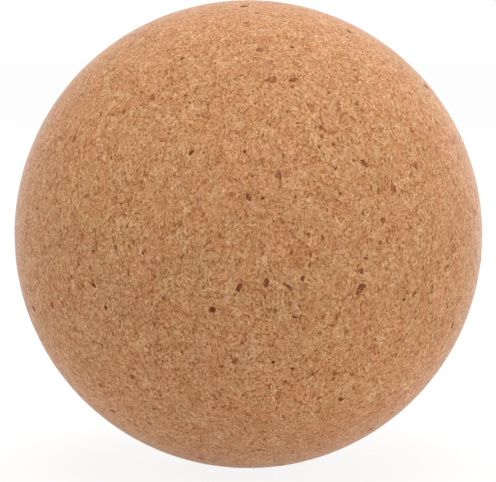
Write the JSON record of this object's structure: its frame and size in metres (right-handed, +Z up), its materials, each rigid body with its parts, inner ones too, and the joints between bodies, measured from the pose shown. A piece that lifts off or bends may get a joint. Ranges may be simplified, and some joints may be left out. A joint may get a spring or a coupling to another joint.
{
  "type": "massage ball",
  "caption": "Solid round massage ball of fine agglomerated cork, with hard bark grains bonded flush in its sanded surface and small open pores between the granules.",
  "frame": {"origin": "centre of the ball", "axes": "+Z up, away from the surface that the ball lies on; the front faces -Y, and +X is to the right seen from the front"},
  "size_m": [0.065, 0.065, 0.065],
  "materials": {
    "cork": "sanded fine cork granulate, bare and matt",
    "bark": "hard brown bark grains, sanded flush and matt"
  },
  "bodies": {
    "root": {"cork_ball": "cork", "bark_grains": "bark"}
  },
  "joints": []
}
